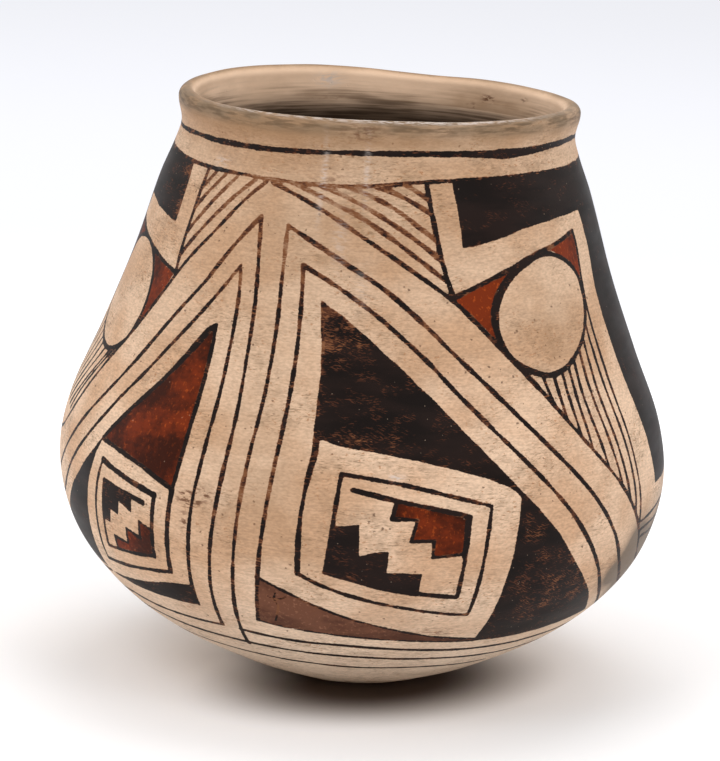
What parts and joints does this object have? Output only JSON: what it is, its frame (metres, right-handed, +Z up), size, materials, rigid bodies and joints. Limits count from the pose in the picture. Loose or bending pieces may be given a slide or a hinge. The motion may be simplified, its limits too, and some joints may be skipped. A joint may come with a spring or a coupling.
{
  "type": "olla",
  "caption": "Round-bellied, wide-mouthed clay jar, coil-built on a moulded base, with a rolled lip and burnished slip painted in black and red.",
  "frame": {"origin": "middle of the flat spot under the base", "axes": "+Z up along the jar's axis; -Y towards the side that the painted stepped panel is on; +X to the right seen from there"},
  "size_m": [0.235, 0.235, 0.2256],
  "materials": {
    "bare_clay": "burnished clay, worn where it stands",
    "painted_slip": "burnished buff slip with black and red paint",
    "worn_rim": "burnished slip, worn greyish along the lip"
  },
  "bodies": {
    "root": {"moulded_base": "bare_clay", "body_coil_1": "painted_slip", "body_coil_2": "painted_slip", "body_coil_3": "painted_slip", "body_coil_4": "painted_slip", "body_coil_5": "painted_slip", "body_coil_6": "painted_slip", "body_coil_7": "painted_slip", "body_coil_8": "painted_slip", "body_coil_9": "painted_slip", "neck_coil": "painted_slip", "rim_coil": "worn_rim"}
  },
  "joints": []
}
